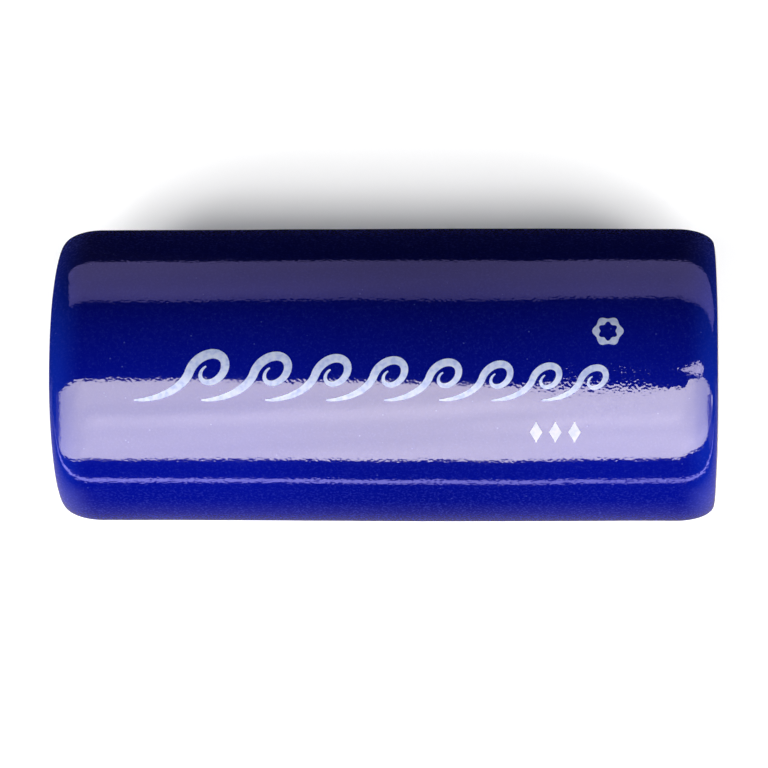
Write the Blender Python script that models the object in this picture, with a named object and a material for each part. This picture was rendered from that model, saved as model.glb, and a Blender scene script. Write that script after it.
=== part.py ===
"""Glazed ceramic guitar slide, lying on its side on a flat surface.

The slide is an open clay tube that a player wears on a finger. The clay is bare in the bore and on
the foot ring that it was fired on. A coat of coloured glaze covers the rest of it: the outside, the
lip and the start of the flared mouth. A printed ornament of enamel strokes lies on the glaze.

X runs along the bore, from the lip at -X to the foot ring at +X. Z is up. The origin is on the
supporting surface, under the middle of the slide. Units are metres.
"""

from math import atan2, cos, hypot, pi, radians, sin, tau

import bmesh
import bpy

MM = 0.001

# Driving dimensions of the tube. The outer diameter follows from the bore and the wall.
LENGTH = 66.6 * MM
BORE_DIAMETER = 21.0 * MM
WALL = 4.45 * MM  # clay and glaze together
BELLY_RISE = 0.10 * MM  # how much fatter, in radius, the barrel is than its two ends
BELLY_X = 10.0 * MM  # where the barrel is fattest

# Rounding of the ends, each as an ellipse's length along the bore and its rise across the wall.
SHOULDER_LENGTH, SHOULDER_RISE = 3.8 * MM, 1.65 * MM
LIP_FLARE_LENGTH, LIP_FLARE_RISE = 2.6 * MM, 1.6 * MM
FOOT_FLARE_LENGTH, FOOT_FLARE_RISE = 1.6 * MM, 1.0 * MM

# The glaze. It thins towards its two edges, one in the flared mouth and one by the foot ring.
GLAZE = 0.50 * MM
GLAZE_EDGE = 0.12 * MM
GLAZE_RUNOUT = 3.0 * MM  # the length over which it thins
GLAZE_START = radians(40)  # round the lip flare, from the bore's wall
GLAZE_END = radians(78)  # round the foot shoulder, from the barrel
FUSED_GAP = 0.05 * MM  # between solids that are fired together

# The print, measured flat: u along the bore and v round the barrel, from the middle of the print.
PRINT_FACING = radians(80)  # elevation of the line from the bore's axis to the print's middle
PRINT_THICKNESS = 0.05 * MM
WAVE_COUNT = 8
WAVE_FROM_LIP = 8.7 * MM  # from the lip to the first wave's tail
WAVE_FROM_FOOT = 12.8 * MM  # from the foot ring to where a ninth wave would start
WAVE_BASE = -2.5 * MM  # v of the line that the waves stand on
WAVE_DECAY = 0.95  # each wave's size, as a share of the one before it
WAVE_SLANT = 0.30  # how far a wave leans forward for each unit of its height
CURL_RADIUS = 2.0 * MM  # of the first wave
CURL_HEIGHT = 2.9 * MM  # of the first wave's curl centre over the line
CURL_TURNS = 1.12
CURL_END = 0.34  # the curl's last radius, as a share of its first
STROKE_WIDTH = 0.95 * MM  # of the first wave, at its broadest
STROKE_TIP = 0.16  # width at both tips, as a share of the broadest
STROKE_FULLNESS = 0.8  # below 1, a stroke broadens sooner after its tips
ROSETTE_FROM_FOOT, ROSETTE_V = 10.9 * MM, 4.4 * MM
ROSETTE_RADIUS = 1.15 * MM  # of the ring's middle line
ROSETTE_WIDTH = 0.55 * MM  # of the ring, between two petals
ROSETTE_PETALS, PETAL_SHARE = 6, 0.45
LOZENGE_COUNT = 3
LOZENGES_FROM_FOOT, LOZENGE_V = 16.1 * MM, -5.8 * MM  # the middle of the row
LOZENGE_PITCH = 1.9 * MM
LOZENGE_WIDTH, LOZENGE_HEIGHT = 1.25 * MM, 2.2 * MM
LOZENGE_TIP = 0.12  # width at its two points, as a share of its width

# How finely round shapes are divided.
TURN_STEPS = 32
SHOULDER_STEPS, FLARE_STEPS, BARREL_STEPS = 6, 4, 4
TAIL_STEPS, CURL_STEPS, ROSETTE_STEPS, LOZENGE_STEPS = 5, 16, 36, 8

# Sizes that follow.
BORE_RADIUS = BORE_DIAMETER / 2
OUTER_RADIUS = BORE_RADIUS + WALL
FACET_SHARE = cos(pi / TURN_STEPS)  # a facet's distance from the axis, as a share of a corner's
AXIS_HEIGHT = (OUTER_RADIUS + BELLY_RISE) * FACET_SHARE  # the belly's lowest facet rests on z = 0
LIP_X, FOOT_X = -LENGTH / 2, LENGTH / 2
BARREL_START, BARREL_END = LIP_X + SHOULDER_LENGTH, FOOT_X - SHOULDER_LENGTH
WAVE_START, WAVES_END = LIP_X + WAVE_FROM_LIP, FOOT_X - WAVE_FROM_FOOT
WAVE_PITCH = (WAVES_END - WAVE_START) * (1 - WAVE_DECAY) / (1 - WAVE_DECAY**WAVE_COUNT)

CLAY = dict(name="bisque_clay", colour=(0.72, 0.66, 0.57), roughness=0.85)
COBALT_GLAZE = dict(name="cobalt_glaze", colour=(0.002, 0.005, 0.28), roughness=0.06)
ENAMEL = dict(name="white_enamel", colour=(0.70, 0.80, 0.93), roughness=0.25)


def clear_scene():
    """Remove every object, so that only the slide is left."""
    for item in list(bpy.data.objects):
        bpy.data.objects.remove(item)


def material(name, colour, roughness):
    """A plain, non-metallic material."""
    made = bpy.data.materials.get(name)
    if made is None:
        made = bpy.data.materials.new(name)
        made.use_nodes = True
        shader = made.node_tree.nodes["Principled BSDF"]
        shader.inputs["Base Color"].default_value = (*colour, 1.0)
        shader.inputs["Roughness"].default_value = roughness
        shader.inputs["Metallic"].default_value = 0.0
    return made


def add_object(name, mesh_data, look, height):
    """Close the mesh, shade its round faces smooth and place it over the surface."""
    bmesh.ops.recalc_face_normals(mesh_data, faces=mesh_data.faces)
    mesh = bpy.data.meshes.new(name)
    mesh_data.to_mesh(mesh)
    mesh_data.free()
    mesh.shade_smooth()
    mesh.set_sharp_from_angle(angle=radians(35))
    mesh.materials.append(material(**look))
    made = bpy.data.objects.new(name, mesh)
    made.location.z = height
    bpy.context.scene.collection.objects.link(made)
    return made


# The wall's section. A station is a point (x, r) of the finished surface with its outward normal.


def arc(centre_x, centre_r, length, rise, start, end, steps):
    """Stations on an ellipse. Angles run from the outward radius, positive towards +X."""
    stations = []
    for i in range(steps + 1):
        turn = start + (end - start) * i / steps
        normal_x, normal_r = sin(turn) / length, cos(turn) / rise
        size = hypot(normal_x, normal_r)
        point = (centre_x + length * sin(turn), centre_r + rise * cos(turn))
        stations.append((*point, normal_x / size, normal_r / size))
    return stations


def lip_flare(start, end, steps):
    """The mouth at the lip. Angles run from the bore's wall (0) to the lip's face (90 degrees)."""
    centre = (LIP_X + LIP_FLARE_LENGTH, BORE_RADIUS + LIP_FLARE_RISE)
    return arc(*centre, LIP_FLARE_LENGTH, LIP_FLARE_RISE, start - pi, end - pi, steps)


def lip_shoulder():
    """The outer rounding at the lip, from its face to the barrel."""
    centre = (BARREL_START, OUTER_RADIUS - SHOULDER_RISE)
    return arc(*centre, SHOULDER_LENGTH, SHOULDER_RISE, -pi / 2, 0, SHOULDER_STEPS)


def foot_shoulder(start, end, steps):
    """The outer rounding at the foot. Angles run from the barrel (0) to the foot ring (90 degrees)."""
    centre = (BARREL_END, OUTER_RADIUS - SHOULDER_RISE)
    return arc(*centre, SHOULDER_LENGTH, SHOULDER_RISE, start, end, steps)


def foot_flare():
    """The rounded mouth at the foot, from the foot ring to the bore's wall."""
    centre = (FOOT_X - FOOT_FLARE_LENGTH, BORE_RADIUS + FOOT_FLARE_RISE)
    return arc(*centre, FOOT_FLARE_LENGTH, FOOT_FLARE_RISE, pi / 2, pi, FLARE_STEPS)


def barrel_radius(x):
    """The glazed outside's radius, which swells smoothly from both shoulders to the belly."""
    reach = (BARREL_END if x > BELLY_X else BARREL_START) - BELLY_X
    share = min(1.0, abs((x - BELLY_X) / reach))
    return OUTER_RADIUS + BELLY_RISE * cos(share * pi / 2) ** 2


def barrel():
    """Stations along the barrel between its shoulders, as many before the fattest place as after."""
    shares = [i / BARREL_STEPS for i in range(BARREL_STEPS)]
    rising = [BARREL_START + (BELLY_X - BARREL_START) * share for share in shares[1:]]
    falling = [BELLY_X + (BARREL_END - BELLY_X) * share for share in shares]
    return [(x, barrel_radius(x), 0.0, 1.0) for x in rising + falling]


def glazed_stations():
    """The glazed part of the surface, from inside the flared mouth round to the foot ring."""
    return [
        *lip_flare(GLAZE_START, pi / 2, FLARE_STEPS),
        *lip_shoulder(),
        *barrel(),
        *foot_shoulder(0, GLAZE_END, SHOULDER_STEPS),
    ]


def run_lengths(stations):
    """Each station's distance along the surface from the first one."""
    run = [0.0]
    for (x0, r0, _, _), (x1, r1, _, _) in zip(stations, stations[1:]):
        run.append(run[-1] + hypot(x1 - x0, r1 - r0))
    return run


def glaze_depths(stations):
    """The glaze's thickness at each station, thinning smoothly towards its two edges."""
    run = run_lengths(stations)
    depths = []
    for along in run:
        share = min(1.0, min(along, run[-1] - along) / GLAZE_RUNOUT)
        depths.append(GLAZE_EDGE + (GLAZE - GLAZE_EDGE) * share * share * (3 - 2 * share))
    return depths


def sunk(stations, depths, clearance):
    """Points below the surface by each station's depth and a clearance."""
    return [
        (x - (depth + clearance) * nx, r - (depth + clearance) * nr)
        for (x, r, nx, nr), depth in zip(stations, depths)
    ]


def glaze_section():
    """The glaze's closed outline: its glossy side, then the side fused to the clay."""
    stations = glazed_stations()
    outside = [(x, r) for x, r, _, _ in stations]
    return outside + sunk(stations, glaze_depths(stations), 0.0)[::-1]


def clay_section():
    """The clay's closed outline: bare mouth, the part under the glaze, foot ring and bare mouth.

    A step as deep as the glaze's edge leads down under it at each of its two ends.
    """
    stations = glazed_stations()
    mouth = lip_flare(0, GLAZE_START - FUSED_GAP / LIP_FLARE_RISE, FLARE_STEPS)
    ring = foot_shoulder(GLAZE_END + FUSED_GAP / SHOULDER_RISE, pi / 2, 1)
    covered = [mouth[-1], *stations, ring[0]]
    depths = [GLAZE_EDGE, *glaze_depths(stations), GLAZE_EDGE]
    bare_mouth = [(x, r) for x, r, _, _ in mouth]
    bare_foot = [(x, r) for x, r, _, _ in ring + foot_flare()]
    return bare_mouth + sunk(covered, depths, FUSED_GAP) + bare_foot


def turned(name, section, look):
    """A solid of revolution about the bore's axis, with a flat facet underneath to rest on."""
    shape = bmesh.new()
    lean = pi / TURN_STEPS
    points = [shape.verts.new((x, r * sin(lean), r * cos(lean))) for x, r in section]
    edges = [shape.edges.new((points[i - 1], points[i])) for i in range(len(points))]
    bmesh.ops.spin(
        shape,
        geom=points + edges,
        cent=(0, 0, 0),
        axis=(1, 0, 0),
        angle=tau,
        steps=TURN_STEPS,
        use_merge=True,
    )
    return add_object(name, shape, look, AXIS_HEIGHT)


# The print. Each stroke is a list of (u, v, width) along its middle line.


def on_barrel(u, v, lift):
    """A point of the flat print, wrapped round the barrel and lifted off the glaze."""
    angle = PRINT_FACING + v / OUTER_RADIUS
    radius = barrel_radius(u) + FUSED_GAP + lift
    return (u, -radius * cos(angle), radius * sin(angle))


def stroke_sides(stroke, closed):
    """The left and right edge points of a stroke, square to its middle line."""
    sides = []
    for i, (u, v, width) in enumerate(stroke):
        before = stroke[i - 1] if closed or i else stroke[0]
        after = stroke[(i + 1) % len(stroke)] if closed or i + 1 < len(stroke) else stroke[-1]
        heading = atan2(after[1] - before[1], after[0] - before[0])
        across_u, across_v = -sin(heading) * width / 2, cos(heading) * width / 2
        sides.append(((u + across_u, v + across_v), (u - across_u, v - across_v)))
    return sides


def printed(name, stroke, closed=False):
    """A thin enamel solid that follows the barrel, from a stroke's middle line and widths."""
    shape = bmesh.new()
    rings = []
    for left, right in stroke_sides(stroke, closed):
        corners = [(left, 0.0), (right, 0.0), (right, PRINT_THICKNESS), (left, PRINT_THICKNESS)]
        rings.append([shape.verts.new(on_barrel(*place, lift)) for place, lift in corners])
    for i in range(0 if closed else 1, len(rings)):
        for k in range(4):
            quad = (rings[i - 1][k - 1], rings[i - 1][k], rings[i][k], rings[i][k - 1])
            shape.faces.new(quad)
    if not closed:
        shape.faces.new(rings[0])
        shape.faces.new(rings[-1])
    return add_object(name, shape, ENAMEL, AXIS_HEIGHT)


def wave_line(size):
    """The middle line of one curling wave of a given size, standing at u = 0 on v = 0."""
    radius, height = CURL_RADIUS * size, CURL_HEIGHT * size
    reach = WAVE_PITCH * size - radius
    line = []
    for i in range(TAIL_STEPS):
        share = i / TAIL_STEPS
        line.append((reach * sin(share * pi / 2), height * (1 - cos(share * pi / 2))))
    for i in range(CURL_STEPS + 1):
        share = i / CURL_STEPS
        turn = pi - share * CURL_TURNS * tau
        away = radius * (1 - (1 - CURL_END) * share)
        line.append((reach + radius + away * cos(turn), height + away * sin(turn)))
    return line


def wave_stroke(index):
    """One wave of the train, as a stroke that swells over the crest and tapers at both tips."""
    size = WAVE_DECAY**index
    start = WAVE_START + WAVE_PITCH * (1 - size) / (1 - WAVE_DECAY)
    line = wave_line(size)
    run = run_lengths([(u, v, 0, 0) for u, v in line])
    stroke = []
    for (u, v), along in zip(line, run):
        bulge = max(0.0, sin(pi * along / run[-1])) ** STROKE_FULLNESS
        width = STROKE_WIDTH * size * (STROKE_TIP + (1 - STROKE_TIP) * bulge)
        stroke.append((start + u + WAVE_SLANT * v, WAVE_BASE + v, width))
    return stroke


def rosette_stroke():
    """A ring whose outer and inner edges swell into petals."""
    centre = FOOT_X - ROSETTE_FROM_FOOT
    stroke = []
    for i in range(ROSETTE_STEPS):
        turn = tau * i / ROSETTE_STEPS
        width = ROSETTE_WIDTH * (1 + PETAL_SHARE * cos(ROSETTE_PETALS * turn))
        u, v = centre + ROSETTE_RADIUS * cos(turn), ROSETTE_V + ROSETTE_RADIUS * sin(turn)
        stroke.append((u, v, width))
    return stroke


def lozenge_stroke(index):
    """One upright lozenge of the row, from its lower point to its upper one."""
    centre = FOOT_X - LOZENGES_FROM_FOOT + (index - (LOZENGE_COUNT - 1) / 2) * LOZENGE_PITCH
    stroke = []
    for i in range(LOZENGE_STEPS + 1):
        share = 2 * i / LOZENGE_STEPS - 1
        width = LOZENGE_WIDTH * max(LOZENGE_TIP, 1 - abs(share))
        stroke.append((centre, LOZENGE_V + share * LOZENGE_HEIGHT / 2, width))
    return stroke


def build():
    """Make every piece of the slide."""
    clear_scene()
    turned("ceramic_body", clay_section(), CLAY)
    turned("glaze_coat", glaze_section(), COBALT_GLAZE)
    for index in range(WAVE_COUNT):
        printed(f"print_wave_{index + 1}", wave_stroke(index))
    printed("print_rosette", rosette_stroke(), closed=True)
    for index in range(LOZENGE_COUNT):
        printed(f"print_lozenge_{index + 1}", lozenge_stroke(index))


build()
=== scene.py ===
"""Looks of a glazed ceramic guitar slide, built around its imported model.

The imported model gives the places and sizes. Each of its solids is stood in for by a finely modelled
piece: the fired clay tube, the cobalt glaze that covers it, and the enamel ornament on the glaze.

X runs along the bore, from the lip at -X to the foot ring at +X. Z is up. Units are metres.
"""

import logging
import math
from dataclasses import dataclass, field
from enum import Enum

import bpy
from mathutils import Matrix, Vector


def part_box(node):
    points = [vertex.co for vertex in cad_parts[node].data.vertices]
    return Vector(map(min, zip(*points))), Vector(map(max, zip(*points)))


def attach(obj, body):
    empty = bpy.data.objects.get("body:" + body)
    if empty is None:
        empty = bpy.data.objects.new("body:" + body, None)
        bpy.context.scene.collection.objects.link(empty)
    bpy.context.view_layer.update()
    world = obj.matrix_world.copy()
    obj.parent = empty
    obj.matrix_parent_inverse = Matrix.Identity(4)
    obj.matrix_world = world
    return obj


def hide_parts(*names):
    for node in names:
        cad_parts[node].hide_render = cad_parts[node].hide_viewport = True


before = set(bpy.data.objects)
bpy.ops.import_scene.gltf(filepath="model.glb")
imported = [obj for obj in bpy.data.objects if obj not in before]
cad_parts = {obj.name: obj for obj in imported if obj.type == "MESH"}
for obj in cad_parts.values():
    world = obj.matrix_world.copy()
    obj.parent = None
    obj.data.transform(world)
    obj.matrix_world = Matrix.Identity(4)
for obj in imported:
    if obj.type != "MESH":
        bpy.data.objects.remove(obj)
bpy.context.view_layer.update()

MM = 0.001
ROOT_BODY = "root"
MODEL_FACETS = 32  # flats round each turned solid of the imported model
WELD = MM / 1000  # points closer than this are one point
CREASE_ANGLE = math.radians(40)  # a sharper edge than this stays sharp when shaded

log = logging.getLogger("guitar_slide")

Point = tuple[float, float]
Colour = tuple[float, float, float]
Station = tuple[float, float, float, float]  # a point (x, r) of a surface and its outward normal
Stroke = list[tuple[float, float, float]]  # (u, v, width) along a middle line
Wave = tuple[int, float, float]  # times round the mouth, phase and share
Tree = bpy.types.NodeTree
Socket = bpy.types.NodeSocket


# ---------------------------------------------------------------- shared helpers


def linear(hex_colour: str) -> tuple[float, float, float, float]:
    """Turn an sRGB colour into linear light.

    Args:
        hex_colour: the colour as "#RRGGBB".

    Returns:
        Red, green and blue in linear light, with an alpha of 1.
    """
    parts = [int(hex_colour[i : i + 2], 16) / 255 for i in (1, 3, 5)]
    light = [c / 12.92 if c <= 0.04045 else ((c + 0.055) / 1.055) ** 2.4 for c in parts]
    return (*light, 1.0)


def deselect_all() -> None:
    """Leave object mode with nothing selected."""
    if bpy.context.mode != "OBJECT":
        bpy.ops.object.mode_set(mode="OBJECT")
    bpy.ops.object.select_all(action="DESELECT")


def add_node(
    tree: Tree, kind: str, inputs: dict | None = None, stops: list | None = None, **settings: object
) -> bpy.types.Node:
    """Add one shader node, set it up and link it.

    Args:
        tree: the node tree that takes the node.
        kind: the node's type without its "ShaderNode" prefix, such as "TexNoise".
        inputs: a value, or another node's output, for each input, by name or by number.
        stops: a colour ramp's stops, as pairs of a position and a hex colour or a grey level.
        settings: the node's own properties, such as operation="MULTIPLY".

    Returns:
        The new node.
    """
    made = tree.nodes.new("ShaderNode" + kind)
    for key, value in settings.items():
        setattr(made, key, value)
    if stops:
        marks = made.color_ramp.elements
        while len(marks) < len(stops):
            marks.new(1.0)
        for mark, (position, shade) in zip(marks, stops):
            mark.position = position
            mark.color = linear(shade) if isinstance(shade, str) else (shade, shade, shade, 1.0)
    for key, value in (inputs or {}).items():
        if isinstance(value, Socket):
            tree.links.new(value, made.inputs[key])
        else:
            made.inputs[key].default_value = value
    return made


def between(edge: tuple[Point, ...], x: float) -> float:
    """Read an edge given as points, at a place between them.

    Args:
        edge: (x, value) points in order.
        x: the place.

    Returns:
        The value there.
    """
    for (x0, v0), (x1, v1) in zip(edge, edge[1:]):
        if x <= x1:
            return v0 + (v1 - v0) * max(0.0, (x - x0) / (x1 - x0))
    return edge[-1][1]


def new_material(name: str) -> tuple[bpy.types.Material, Tree]:
    """Make a material with an empty node tree.

    Args:
        name: the material's name.

    Returns:
        The material and its node tree.
    """
    material = bpy.data.materials.new(name)
    material.use_nodes = True
    material.node_tree.nodes.clear()
    return material, material.node_tree


def distance_from(tree: Tree, value: Socket, middle: float = 0.0) -> Socket:
    """Measure how far a value is from a middle one.

    Args:
        tree: the node tree.
        value: the output that gives the value.
        middle: the middle value.

    Returns:
        The output that gives the distance, never negative.
    """
    off = add_node(tree, "Math", {0: value, 1: middle}, operation="SUBTRACT").outputs[0]
    return add_node(tree, "Math", {0: off}, operation="ABSOLUTE").outputs[0]


def speckle(
    tree: Tree, place: Socket, under: Socket, colour: str, spacing: float, dot: Point, level: float
) -> Socket:
    """Scatter fine round specks over a colour.

    Args:
        tree: the node tree.
        place: the output that gives the place on the piece.
        under: the output that gives the colour under the specks.
        colour: the specks' colour, as "#RRGGBB".
        spacing: from one speck to the next.
        dot: how far a speck is full and where it ends, as shares of the spacing.
        level: how much of the colour a full speck takes on.

    Returns:
        The output that gives the speckled colour.
    """
    cells = add_node(tree, "TexVoronoi", {"Vector": place, "Scale": 1 / spacing})
    stops = [(dot[0], level), (dot[1], 0.0)]
    speck = add_node(tree, "ValToRGB", {"Fac": cells.outputs["Distance"]}, stops=stops)
    shades = {"Factor": speck.outputs["Color"], "A": under, "B": linear(colour)}
    return add_node(tree, "Mix", shades, data_type="RGBA").outputs["Result"]


def bumps(
    tree: Tree, place: Socket, size: float, depth: float | Socket, detail: float, **under: Socket
) -> Socket:
    """Roughen a surface with fine random bumps.

    Args:
        tree: the node tree.
        place: the output that gives the place on the piece.
        size: how wide the bumps are.
        depth: from the lowest to the highest of them.
        detail: how many finer layers they have.
        under: as Normal, the output that gives the surface under them, if it isn't plain.

    Returns:
        The output that gives the surface's normal.
    """
    noise = add_node(tree, "TexNoise", {"Vector": place, "Scale": 1 / size, "Detail": detail})
    relief = {"Height": noise.outputs["Fac"], "Distance": depth, "Strength": 1.0, **under}
    return add_node(tree, "Bump", relief).outputs["Normal"]


def apply_modifier(piece: bpy.types.Object, kind: str, **settings: object) -> None:
    """Add a modifier to a piece, set it up and apply it.

    Args:
        piece: the mesh object to change.
        kind: the modifier's type, such as "SOLIDIFY".
        settings: the modifier's properties.
    """
    modifier = piece.modifiers.new(kind.lower(), kind)
    for key, value in settings.items():
        setattr(modifier, key, value)
    deselect_all()
    piece.select_set(True)
    bpy.context.view_layer.objects.active = piece
    bpy.ops.object.modifier_apply(modifier=modifier.name)


# ---------------------------------------------------------------- finishes


@dataclass(frozen=True)
class CobaltGlaze:
    """Glossy stoneware glaze, coloured with cobalt and fired to glass.

    It gives a deep, even blue with mirror-sharp reflections. It breaks to a paler blue where it
    thins over the lip and the foot, and its skin has a faint orange peel that frays highlights.
    """

    deep: str = "#020C84"
    bright: str = "#020E90"
    cloud_size: float = 9.0 * MM
    cloud_share: float = 0.5  # how much the clouds change the depth
    pooled_middle: float = 4.0 * MM  # how far from the middle of the slide the glaze is deepest
    pooled_reach: float = 26.0 * MM
    thin: str = "#0A28AC"
    thin_length: float = 3.6 * MM
    thin_waver: float = 1.0 * MM
    speck: str = "#5060C0"
    speck_spacing: float = 1.5 * MM
    speck_dot: Point = (0.035, 0.07)
    speck_level: float = 0.55
    grain: str = "#2430A0"
    grain_size: float = 0.22 * MM
    grain_span: Point = (0.56, 0.74)  # which part of the noise shows as grain
    grain_level: float = 0.45
    haze: str = "#6672FF"  # fine crystals in the skin, which show where it is seen aslant
    haze_size: float = 0.25 * MM
    haze_span: Point = (0.5, 0.7)  # which part of the noise shows as haze
    haze_level: float = 0.85
    peel_size: float = 0.26 * MM
    peel_depth: float = 0.0068 * MM
    rough_place: Point = (21.0 * MM, -4.0 * MM)  # a patch with a deeper peel, along X and Y
    rough_reach: Point = (8.0 * MM, 3.2 * MM)
    rough_middle: float = 1 / 3  # how much of its reach is fully rough
    rough_gain: float = 2.3  # how many times its own depth the peel gains there
    ripple_size: float = 5.0 * MM
    ripple_depth: float = 0.02 * MM
    roughness: Point = (0.035, 0.075)
    ior: float = 1.52

    def depth(self, tree: Tree, cloud: Socket, along: Socket) -> Socket:
        """Let the glaze's depth of colour drift in clouds, and fade away from where it pooled.

        Args:
            tree: the material's node tree.
            cloud: the output that gives the clouds.
            along: the output that gives the place along the bore.

        Returns:
            The output that gives how bright the glaze is, from 0 where it is deep.
        """
        away = distance_from(tree, along, self.pooled_middle)
        pool = add_node(
            tree, "MapRange", {"Value": away, "From Max": self.pooled_reach}, interpolation_type="SMOOTHSTEP"
        ).outputs["Result"]
        drift = {0: cloud, 1: self.cloud_share, 2: pool}
        return add_node(tree, "Math", drift, operation="MULTIPLY_ADD").outputs[0]

    def thinning(self, tree: Tree, cloud: Socket, along: Socket, half_length: float) -> Socket:
        """Find how thin the glaze has run over the lip and the foot.

        Args:
            tree: the material's node tree.
            cloud: the output that gives the clouds, which make the change ragged.
            along: the output that gives the place along the bore.
            half_length: half of the slide's length.

        Returns:
            The output that gives the thinning, from 0 to 1 at the very ends.
        """
        reach = distance_from(tree, along)
        waver = {0: cloud, 1: 2 * self.thin_waver, 2: -self.thin_waver}
        waver = add_node(tree, "Math", waver, operation="MULTIPLY_ADD").outputs[0]
        ragged = add_node(tree, "Math", {0: reach, 1: waver}, operation="ADD").outputs[0]
        ends = {"Value": ragged, "From Min": half_length - self.thin_length, "From Max": half_length}
        return add_node(tree, "MapRange", ends, interpolation_type="SMOOTHSTEP").outputs["Result"]

    def skin(self, tree: Tree, place: Socket) -> Socket:
        """Shape the glaze's skin: a broad ripple, and an orange peel that is deeper in one patch.

        Args:
            tree: the material's node tree.
            place: the output that gives the place on the piece.

        Returns:
            The output that gives the skin's normal.
        """
        ripple = bumps(tree, place, self.ripple_size, self.ripple_depth, 1.0)
        spot = add_node(tree, "SeparateXYZ", {"Vector": place}).outputs
        deeper = self.peel_depth * self.rough_gain
        for axis, middle, reach in zip("XY", self.rough_place, self.rough_reach):
            away = distance_from(tree, spot[axis], middle)
            fade = {"Value": away, "From Min": reach * self.rough_middle, "From Max": reach}
            fade.update({"To Min": deeper, "To Max": 0.0})
            deeper = add_node(tree, "MapRange", fade, interpolation_type="SMOOTHSTEP").outputs["Result"]
        depth = add_node(tree, "Math", {0: deeper, 1: self.peel_depth}, operation="ADD").outputs[0]
        return bumps(tree, place, self.peel_size, depth, 0.0, Normal=ripple)

    def material(self, half_length: float) -> bpy.types.Material:
        """Build the glaze's material.

        Args:
            half_length: half of the slide's length, to find the two ends.

        Returns:
            The material.
        """
        material, tree = new_material("cobalt_stoneware_glaze")
        place = add_node(tree, "TexCoord").outputs["Object"]
        along = add_node(tree, "SeparateXYZ", {"Vector": place}).outputs["X"]
        clouds = {"Vector": place, "Scale": 1 / self.cloud_size, "Detail": 3.0}
        cloud = add_node(tree, "TexNoise", clouds).outputs["Fac"]
        depth = self.depth(tree, cloud, along)
        body = add_node(tree, "ValToRGB", {"Fac": depth}, stops=[(0.2, self.deep), (1.0, self.bright)])
        thinning = self.thinning(tree, cloud, along, half_length)
        shades = {"Factor": thinning, "A": body.outputs["Color"], "B": linear(self.thin)}
        broken = add_node(tree, "Mix", shades, data_type="RGBA").outputs["Result"]
        speckled = speckle(
            tree, place, broken, self.speck, self.speck_spacing, self.speck_dot, self.speck_level
        )
        bubbles = add_node(tree, "TexNoise", {"Vector": place, "Scale": 1 / self.grain_size, "Detail": 2.0})
        stops = [(self.grain_span[0], 0.0), (self.grain_span[1], self.grain_level)]
        bubble = add_node(tree, "ValToRGB", {"Fac": bubbles.outputs["Fac"]}, stops=stops)
        shades = {"Factor": bubble.outputs["Color"], "A": speckled, "B": linear(self.grain)}
        grained = add_node(tree, "Mix", shades, data_type="RGBA").outputs["Result"]
        gloss = add_node(
            tree, "MapRange", {"Value": cloud, "To Min": self.roughness[0], "To Max": self.roughness[1]}
        ).outputs["Result"]
        crystals = add_node(tree, "TexNoise", {"Vector": place, "Scale": 1 / self.haze_size, "Detail": 1.0})
        low, high = self.haze_span
        haze = {"From Min": low, "From Max": high, "To Max": self.haze_level}
        haze = add_node(tree, "MapRange", {"Value": crystals.outputs["Fac"], **haze}).outputs["Result"]
        shader = add_node(
            tree,
            "BsdfPrincipled",
            {
                "Base Color": grained,
                "Roughness": gloss,
                "IOR": self.ior,
                "Sheen Weight": haze,
                "Sheen Tint": linear(self.haze),
                "Normal": self.skin(tree, place),
            },
        )
        add_node(tree, "OutputMaterial", {"Surface": shader.outputs["BSDF"]})
        return material


@dataclass(frozen=True)
class WhiteEnamel:
    """Pale overglaze enamel, screened onto the glaze and fired again.

    It gives a milky blue-white with a soft gloss, thinner and bluer in small patches where the
    glaze shows through.
    """

    milk: str = "#DAE4FF"
    pale: str = "#D1DCFF"
    patch: str = "#BAC9F7"
    patch_size: float = 0.5 * MM
    grain_size: float = 0.12 * MM
    grain_depth: float = 0.004 * MM
    roughness: float = 0.24
    ior: float = 1.5
    sheen_level: float = 0.25  # this soft enamel reflects about half as much as a glossy one

    def material(self) -> bpy.types.Material:
        """Build the enamel's material.

        Returns:
            The material.
        """
        material, tree = new_material("white_overglaze_enamel")
        place = add_node(tree, "TexCoord").outputs["Object"]
        patches = add_node(tree, "TexNoise", {"Vector": place, "Scale": 1 / self.patch_size, "Detail": 4.0})
        colour = add_node(
            tree,
            "ValToRGB",
            {"Fac": patches.outputs["Fac"]},
            stops=[(0.36, self.patch), (0.5, self.pale), (0.62, self.milk)],
        )
        shader = add_node(
            tree,
            "BsdfPrincipled",
            {
                "Base Color": colour.outputs["Color"],
                "Roughness": self.roughness,
                "IOR": self.ior,
                "Specular IOR Level": self.sheen_level,
                "Normal": bumps(tree, place, self.grain_size, self.grain_depth, 2.0),
            },
        )
        add_node(tree, "OutputMaterial", {"Surface": shader.outputs["BSDF"]})
        return material


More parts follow.
